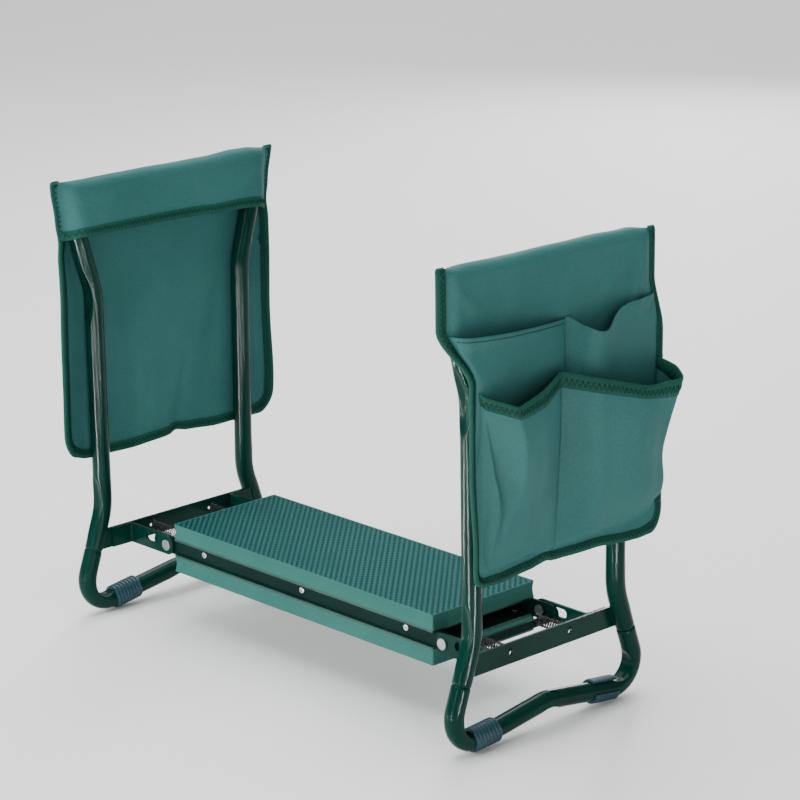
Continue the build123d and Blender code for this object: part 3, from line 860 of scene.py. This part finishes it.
class Bag:
    """How one bag hangs: its top line, its side edges, and how far its pockets stand open."""

    def __init__(self, side_name, top, slope, open_pockets, turn):
        self.name, self.side = side_name, SIDES[side_name]
        self.top, self.slope, self.open, self.turn = top, slope, open_pockets, turn

    def edge(self, z, back):
        """(out, half width) of a side edge at a height."""
        low = 1 - smooth_step(385, 438, z)
        if self.name == "right":
            out = np.where(back, -7 + 11 * low, -7 + 26 * low)
            half = np.where(back, 150 + 2 * low, 150 - 19 * low - 5 * (1 - smooth_step(215, 300, z)))
        else:
            out = np.where(back, -6.0, -9.5) + 1.5 * np.sin(z / 23 + 2 * back)
            half = np.where(back, 150.0, 147.0) + 1.5 * np.sin(z / 31)
            half = half + 6 * smooth_step(448, 490, z) - 2.5 * np.exp(-((z - 424) / 13) ** 2)
        return out, half

    def body(self):
        """One sheet: flap hem, up inside the handle, over its top, and down outside to the bottom."""
        length = self.top - BAG_BOTTOM + 6.4
        across = np.linspace(-BAG_HALF, BAG_HALF, int(2 * BAG_HALF / CLOTH_STEP) + 1)
        along = np.linspace(-FLAP, length, int((FLAP + length) / CLOTH_STEP) + 1)
        u, v = np.meshgrid(across, along)
        au, back, flap = np.abs(u), u > 0, v < 0
        face = np.where(flap, -1, 1)

        # The two faces stand a tube apart, and come together towards the side edges.
        hug = np.clip(1.05 * (142.5 - au), 0.5, HUG)
        hug[:, 2:-2] = (hug[:, :-4] + hug[:, 1:-3] + hug[:, 2:-2] + hug[:, 3:-1] + hug[:, 4:]) / 5

        # The ridge lies on the tube's top, and z falls from it down either face.
        crest = TUBE_TOP + 1.4 - 0.05 * np.clip(92 - au, 0, 92) - 0.02 * np.clip(au - 100, 0, 50)
        ridge = np.maximum(self.top + self.slope * u / BAG_HALF, crest) + 1.5 * smooth_step(126, 150, au)
        ridge = ridge - 5.5 * smooth_step(112, 146, u) + 1.2 * soft_noise(u, 0 * u, 45, 3.3 + self.side)
        arc = math.pi / 2 * np.sqrt((hug ** 2 + HUG ** 2) / 2)
        turn = np.clip(np.abs(v) / arc, 0, 1) * math.pi / 2
        down = np.maximum(np.abs(v) - arc, 0)
        z = ridge - HUG * (1 - np.cos(turn)) - down
        z = np.where(flap, z - 8 * smooth_step(0, 130, u * -self.turn) * down / FLAP, z)

        # The hood round the tube, swaying a little, its flap leaning off the panel.
        edge_out, edge_half = self.edge(z, back)
        to_edge = smooth_step(118, 145, au)
        middle = -TUBE_R * (1 - to_edge) + edge_out * to_edge
        sway = 2.0 * soft_noise(u, z, 85, 7.1 + self.side) + 0.9 * soft_noise(u, z, 34, 1.7)
        hood = middle + face * hug * np.sin(turn)
        hood = hood + face * np.minimum(down / 20, 1) * (1 - to_edge) * np.abs(sway) * 0.8
        hood = hood - np.where(flap, 6.5, 0.0) * smooth_step(0, 46, down) * (1 - to_edge)

        # The panel hangs against the legs, curling round them at its edges.
        reach = 104 + TUBE_R + 0.27 * np.clip(z - 364, 0, 80)
        start = np.where(edge_out < 0, reach + 2, 55.0)
        curl = np.clip((au - start) / (BAG_HALF - start), 0, 1) ** 1.6
        clear = np.exp(-((au - reach + TUBE_R) / 16) ** 2)
        panel = (1.2 + sway * (1 - clear) * (1 - curl)) * (1 - curl) + edge_out * curl
        out = np.where(flap, hood, hood + (panel - hood) * (1 - smooth_step(405, 440, z)))
        folds = creases(u, v, HOOD_CREASES if self.name == "right" else FLAP_CREASES)
        out = out + face * folds * (1 - to_edge) * smooth_step(16, 30, np.abs(v))
        y = u * (BAG_HALF + (edge_half - BAG_HALF) * np.clip(au / BAG_HALF, 0, 1) ** 2) / BAG_HALF

        # The foot is wavy, and puckered beside the middle seam.
        low = 1 - smooth_step(BAG_BOTTOM, BAG_BOTTOM + 45, z)
        pucker = np.exp(-((u + 16 * self.turn) / 9) ** 2) * low * self.open
        out = out + 5 * pucker + 1.5 * low * np.sin(u / 17)
        z = z + 5 * pucker * low + 2.0 * low * np.sin(u / 29 + 1)
        return Cloth(across, along, np.stack([out, y, z], axis=-1))

    def is_tight(self, end):
        """Whether this half of the lower pocket hangs with its gusset folded."""
        return self.name == "left" or end == -1


def smooth_curve(points, count):
    """Catmull-Rom curve through points, at an even number of steps."""
    p = np.asarray(points, float)
    p = np.vstack([2 * p[0] - p[1], p, 2 * p[-1] - p[-2]])
    out = []
    for t in np.linspace(0, len(p) - 3.0001, count):
        k, f = int(t), t - int(t)
        a, b, c, d = p[k:k + 4]
        out.append(0.5 * (2 * b + (c - a) * f + (2 * a - 5 * b + 4 * c - d) * f ** 2
                          + (3 * b - a - 3 * c + d) * f ** 3))
    return np.array(out)


def even_row(points, count, passes):
    """A row of points through a few corners, evenly spaced, its corners softened."""
    row = spread_evenly(points, count)
    for _ in range(passes):
        row = np.vstack([row[:1], (row[:-2] + 2 * row[1:-1] + row[2:]) / 4, row[-1:]])
    return row


def edge_path(body, end, v_from):
    """Flat positions down a side edge and round the bottom corner."""
    corner_v = body.along[-1] - BAG_CORNER
    path = [(end * BAG_HALF, v) for v in np.linspace(v_from, corner_v, 30)]
    for a in np.linspace(0, math.pi / 2, 16)[1:]:
        path.append((end * (BAG_HALF - BAG_CORNER * (1 - math.cos(a))), corner_v + BAG_CORNER * math.sin(a)))
    return np.array(path)


# The open lower pocket's fold lines in bag space, from hem to bottom, on the right bag.
TIGHT_FOLDS = (
    ((26, -122, 375), (23, -106, 328), (21, -95, 290), (20, -88, 256), (12, -104, 200)),
    ((43, -90, 361), (45, -81, 318), (36, -78, 280), (25, -80, 248), (11, -98, 198)),
    ((32, -46, 366), (34, -42, 300), (22, -44, 240), (9, -46, 196)),
    ((16, -6, 374), (13, -4, 310), (9, -4, 240), (6, -4, 190)),
)
WIDE_FOLDS = (
    ((24, 152, 350), (10, 144, 290), (6, 146, 232), (6, 134, 200)),
    ((42, 144, 342), (26, 133, 270), (17, 143, 226), (9, 132, 200)),
    ((39, 95, 343), (38, 92, 290), (24, 95, 235), (9, 95, 198)),
    ((34, 35, 362), (30, 38, 300), (20, 40, 240), (9, 42, 196)),
    ((16, -6, 374), (13, -4, 310), (9, -4, 240), (6, -4, 190)),
)


def press_down(grid, body, bumps, side_free):
    """Add bumps to a pocket, and lay its sewn margin flat on the panel inside the binding."""
    outside, length = body.along > 20, body.along[-1]
    middle_z = body.heights(0.0)
    for row, col in np.ndindex(grid.shape[:2]):
        out, y, z = grid[row, col]
        v = np.interp(-z, -middle_z[outside], body.along[outside])
        u = np.interp(y, body.at(body.across, np.full(len(body.across), v))[:, 1], body.across)
        from_side, from_foot = BAG_HALF - abs(u), length - v
        inside = min(from_side, from_foot)
        if max(from_side, from_foot) < BAG_CORNER:
            inside = BAG_CORNER - math.hypot(BAG_CORNER - from_side, BAG_CORNER - from_foot)
        free = side_free[row, col] * max(smooth_step(10.5, 20, inside), smooth_step(24, 44, from_foot))
        home = body.at(np.array([u, u]), np.array([v, length]))
        laid = home[0, 0] + 0.9
        grid[row, col, 0] = laid + free * max(out + bumps[row, col] - laid, 0.3)
        grid[row, col, 2] = max(z, home[1, 2] + 0.8)


def lower_pocket(bag, body, end):
    """Half of the bellows pocket, from the panel's side edge round its gusset to the centre seam."""
    tight = bag.is_tight(end)
    folds = TIGHT_FOLDS if tight else WIDE_FOLDS
    rows = 70
    hem_z = 384 if tight else 358
    side_z = body.heights(end * BAG_HALF)
    middle_z = body.heights(0.0)
    v_from = np.interp(-hem_z, -side_z, body.along)
    edge = spread_evenly(edge_path(body, end, v_from), rows)
    turned = np.clip((edge[:, 1] - body.along[-1] + BAG_CORNER) / BAG_CORNER, 0, 1)
    inset = edge + 10.0 * np.stack([-end * np.sqrt(1 - turned ** 2), -turned], axis=1)
    columns = [body.lift(edge[:, 0], edge[:, 1], np.full(rows, 0.9)),
               body.lift(inset[:, 0], inset[:, 1], np.full(rows, 1.1))]
    start_u = edge[-1][0]
    for number, fold in enumerate(folds):
        points = np.array(fold, float)
        points[:, 1] *= end * (-1 if tight else 1)
        share = (number + 1) / len(folds)
        feet = [body.lift(start_u * (1 - share), body.along[-1] - up, 1.1) for up in (9.5, 0.5)]
        home = body.at(points[:, 1], np.interp(-points[:, 2], -middle_z, body.along))[:, 0]
        points[:, 0] = np.maximum(home + (points[:, 0] - home) * bag.open, home + 1.2)
        columns.append(smooth_curve(np.vstack([points] + feet), rows))
    count = 72
    grid = np.array([even_row(row, count, 3) for row in np.stack(columns, axis=1)])
    u, v = np.meshgrid(np.linspace(0, 1, count), np.linspace(0, 1, rows))
    ripple = soft_noise(u * 160, v * 180, 30, 5 + end + bag.side) * 1.6
    ripple += soft_noise(u * 160, v * 180, 12, end) * 0.4
    run = mean_run(grid, 1)
    fade = smooth_step(11, 26, u * run) * smooth_step(1, 14, (1 - u) * run)
    gathers = 1.1 * np.sin(u * run / 5.5 + 2 * np.sin(u * run / 37)) * smooth_step(0.72, 0.95, v)
    folded = creases(u * run, v * 186, POCKET_CREASES)
    bumps = (ripple * (0.4 + 0.6 * v) + folded + gathers) * fade
    press_down(grid, body, bumps, smooth_step(9, 18, u * run))
    return Cloth.from_grid(grid)


POCKET_FOOT = 300.0


def upper_pocket(bag, body, end):
    """A flat patch pocket whose mouth stands open, sewn at both sides and along its foot."""
    tight = bag.is_tight(end)
    seam = 14.0 * bag.turn
    edge = end * 141.0
    count, rows = 60, 52
    u = np.linspace(edge, seam, count)
    share = np.linspace(0, 1, count)
    if tight:
        bow = 17 * np.sin(math.pi * share ** 0.62) ** 0.7
        hem = 432 - 11 * share
    else:
        bow = 17 * np.exp(-((share - 0.76) / 0.2) ** 2) + 9 * np.sin(math.pi * share) ** 0.8
        bow = bow * smooth_step(0, 0.16, 1 - share)
        hem = 423 - 17 * np.exp(-((share - 0.74) / 0.2) ** 2) * smooth_step(0, 0.12, 1 - share)
    bow = bow * (0.35 + 0.65 * bag.open)
    middle_z = body.heights(0.0)
    grid = np.zeros((rows, count, 3))
    outside = body.along > 20
    for k, q in enumerate(np.linspace(0, 1, rows)):
        z = hem * (1 - q) + POCKET_FOOT * q
        v = np.interp(-z, -middle_z[outside], body.along[outside])
        grid[k] = body.at(u, v)
        grid[k, :, 0] += 1.0 + bow * (1 - q) ** 0.8 + 1.2 * np.sin(share * 9 + q * 4) * q * (1 - q)
        grid[k, :, 2] = z
    return Cloth.from_grid(grid)


def straight_path(cloth, v):
    """A path along a sheet's near (v=0) or far edge, with its inward directions."""
    u = np.linspace(cloth.across[0], cloth.across[-1], int((cloth.across[-1] - cloth.across[0]) / 2.2))
    inward = 1.0 if v == cloth.along[0] else -1.0
    return np.stack([u, np.full(len(u), v)], axis=1), np.tile([0.0, inward], (len(u), 1))


def outline_path(body):
    """Down one side from the ridge, round the bottom and up the other side."""
    half, length, r = BAG_HALF, body.along[-1], BAG_CORNER
    rows = [(-half, v, 1.0, 0.0) for v in np.arange(0, length - r, 2.2)]
    for a in np.linspace(0, math.pi / 2, 24):
        c, d = math.cos(a), math.sin(a)
        rows.append((-half + r - r * c, length - r + r * d, c, -d))
    rows += [(u, length, 0.0, -1.0) for u in np.arange(-half + r + 2, 0, 2.2)]
    rows += [(-u, v, -a, b) for u, v, a, b in reversed(rows)]
    rows = np.array(rows)
    return rows[:, :2], rows[:, 2:]


def bound_edge(name, cloth, side, route, over, under, heights):
    """A tape over a sheet's edge, and the parts of its zigzag stitches."""
    tape = tape_mesh(name, cloth, side, *route, over, under)
    return tape, stitch_parts(cloth, side, *route, *STITCH_INSETS, STITCH_PITCH, heights)


def build_pockets(bag, body, end_name, end):
    """The upper and the lower pocket of one half of a bag, with their hems."""
    side, leg, prefix = bag.side, f"{bag.name}_leg", f"{bag.name}_{end_name}"
    lower, upper = lower_pocket(bag, body, end), upper_pocket(bag, body, end)
    lower_mesh = sheet_mesh(f"{prefix}_lower_pocket_cloth", lower, side)
    upper_mesh = sheet_mesh(f"{prefix}_upper_pocket_cloth", upper, side)
    tape, hem = bound_edge(f"{prefix}_pocket_tape", lower, side, straight_path(lower, 0.0),
                           HEM_TAPE, HEM_TAPE, (1.2, -1.2))
    threads = join_parts(f"{prefix}_pocket_stitches", hem, THREAD)
    upper_hem = stitch_parts(upper, side, *straight_path(upper, 0.0), 4.2, 4.2, 3.0, (0.5,))
    upper_threads = join_parts(f"{prefix}_upper_stitches", upper_hem, THREAD)
    for cloth, mesh, node, extras in (
        (lower, lower_mesh, f"{prefix}_lower_pocket", (tape, threads)),
        (upper, upper_mesh, f"{prefix}_upper_pocket", (upper_threads,)),
    ):
        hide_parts(node)
        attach(mesh, leg)
        for extra in extras:
            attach(extra, leg)


def build_bag(bag):
    """One bag: its body sheet, bindings, stitches and four pockets."""
    side, leg = bag.side, f"{bag.name}_leg"
    body = bag.body()
    panel = sheet_mesh(f"{bag.name}_bag_body", body, side, BAG_CORNER)
    edge_tape, stitches = bound_edge(f"{bag.name}_bag_edge_tape", body, side, outline_path(body),
                                     2.2, 1.9, (2.5, -2.25))
    path, inward = straight_path(body, -FLAP)
    path[:, 0] *= (BAG_HALF - 4) / BAG_HALF
    flap_tape, flap_stitches = bound_edge(f"{bag.name}_bag_flap_tape", body, side, (path, inward),
                                          HEM_TAPE, HEM_TAPE, (1.2, -1.2))
    for end_name, end in ENDS.items():
        build_pockets(bag, body, end_name, end)
    threads = join_parts(f"{bag.name}_bag_stitches", stitches + flap_stitches, THREAD)
    trims = [edge_tape, flap_tape, threads]
    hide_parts(f"{bag.name}_bag_panel", f"{bag.name}_bag_hood")
    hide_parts(f"{bag.name}_bag_binding")
    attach(panel, leg)
    for trim in trims:
        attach(trim, leg)


# --- camera, floor and light ---

CAMERA_TARGET = (0.2092, -0.1210, 0.3486)
CAMERA_DISTANCE = 3.0848
CAMERA_AZIMUTH = math.radians(46.68)
CAMERA_ELEVATION = math.radians(16.44)
CAMERA_ROLL = math.radians(-0.66)
CAMERA_LENS = 144.2


def build_camera():
    """The camera stands to the front right, a little above the seat."""
    level = math.cos(CAMERA_ELEVATION)
    back = Vector((math.sin(CAMERA_AZIMUTH) * level, -math.cos(CAMERA_AZIMUTH) * level,
                   math.sin(CAMERA_ELEVATION)))
    data = bpy.data.cameras.new("camera")
    data.sensor_width = 36.0
    data.lens = CAMERA_LENS
    camera = bpy.data.objects.new("camera", data)
    bpy.context.scene.collection.objects.link(camera)
    camera.location = Vector(CAMERA_TARGET) + back * CAMERA_DISTANCE
    camera.rotation_mode = "QUATERNION"
    camera.rotation_quaternion = (-back).to_track_quat("-Z", "Y") @ Quaternion((0, 0, 1), CAMERA_ROLL)
    bpy.context.scene.camera = camera


def area_light(name, place, aim, size, power, mirrored=True):
    """A soft box or strip. One that is not mirrored leaves no reflection."""
    data = bpy.data.lights.new(name, "AREA")
    data.shape = "RECTANGLE"
    data.size, data.size_y = size
    data.energy = power
    light = bpy.data.objects.new(name, data)
    light.location = place
    light.rotation_mode = "QUATERNION"
    light.rotation_quaternion = (Vector(aim) - Vector(place)).to_track_quat("-Z", "Y")
    light.visible_glossy = mirrored
    bpy.context.scene.collection.objects.link(light)
    return light


FLOOR_HALF = 60000.0


def build_studio():
    """A pale floor, a white surround, soft boxes and strips."""
    corners = [(x * FLOOR_HALF, y * FLOOR_HALF, 0) for x, y in ((-1, -1), (1, -1), (1, 1), (-1, 1))]
    floor = new_object("floor", corners, [(0, 1, 2, 3)], pale_floor("floor_paper"))
    world = bpy.data.worlds.new("studio")
    bpy.context.scene.world = world
    world.use_nodes = True
    background = world.node_tree.nodes["Background"]
    background.inputs[0].default_value = (1.0, 1.0, 1.0, 1)
    background.inputs[1].default_value = 0.32
    middle = (0.0, 0.0, 0.25)
    area_light("front_box", (-1.3, -3.0, 1.4), middle, (2.6, 2.0), 132, mirrored=False)
    for name, place, aim, size, power in (
        ("top_box", (-0.4, 0.1, 2.9), middle, (3.2, 3.2), 102),
        ("camera_right_strip", (3.3, -1.5, 1.1), middle, (0.08, 2.2), 26),
        ("camera_left_strip", (0.9, -3.4, 1.2), middle, (0.08, 2.2), 26),
        ("left_back_strip", (-1.6, 2.4, 1.3), middle, (0.4, 1.8), 24),
        ("far_floor_box", (-5.0, 5.5, 6.0), (-5.0, 5.5, 0.0), (6.0, 6.0), 420),
    ):
        area_light(name, place, aim, size, power)
    # Low strips on the floor put the long bright lines on the upright tubes.
    for name, place, size in (
        ("front_left_floor_strip", (-0.18, -1.25, 0.004), (0.02, 1.6)),
        ("front_right_floor_strip", (0.40, -1.25, 0.004), (0.02, 1.6)),
        ("right_floor_strip", (1.42, -0.16, 0.004), (1.6, 0.02)),
    ):
        strip = area_light(name, place, (place[0], place[1], 1.0), size, 34)
        strip.visible_camera = strip.visible_diffuse = False


# --- put it together ---

CAD_LOOKS = {"green_steel": PRESSED_STEEL, "board_plastic": BOARD_PLASTIC, "bright_metal": ZINC}


def dress_cad_nodes():
    """Each CAD node that stays gets its finish and softened edges."""
    slots = {row["node"]: row["material_slot"] for row in frame["record"]["subparts"]}
    for name, node in frame["nodes"].items():
        look = CAD_LOOKS.get(slots[name])
        if look is None or node.hide_render:
            continue
        if "hinge_arm" in name or "cross_plate" in name:
            look = GREEN_STEEL
        if "pivot_rivets" in name:
            look = RIVET_GREY
        node.data.materials.clear()
        node.data.materials.append(look)
        add_modifier(node, "BEVEL", "soft_edges", width=0.35 * MM, segments=2, limit_method="ANGLE",
                     angle_limit=math.radians(40))


build_camera()
build_studio()
for side_name, side in SIDES.items():
    build_tubes(side_name, side)
    for end_name, end in ENDS.items():
        build_spring(f"{side_name}_{end_name}_spring_coil", side, end * SPRING_Y)
for side_name, end_name, middle_y, slit_angle, slit in (
    ("right", "front", 89.0, 3.9, 0.3), ("right", "back", 81.0, 0.5, 0.58),
    ("left", "front", 77.0, 5.6, 0.3), ("left", "back", 80.0, 3.3, 0.3),
):
    build_sleeve(side_name, end_name, SIDES[side_name], ENDS[end_name], middle_y, slit_angle, slit)
build_pad("kneeling_pad_foam", "kneeling_pad", pad_low, pad_high, 1)
build_pad("seat_pad_foam", "seat_pad", seat_pad_low, seat_pad_high, -1)
for bag in (Bag("left", 487.0, -1.0, 0.5, -1), Bag("right", 493.0, -2.0, 1.0, 1)):
    build_bag(bag)
dress_cad_nodes()
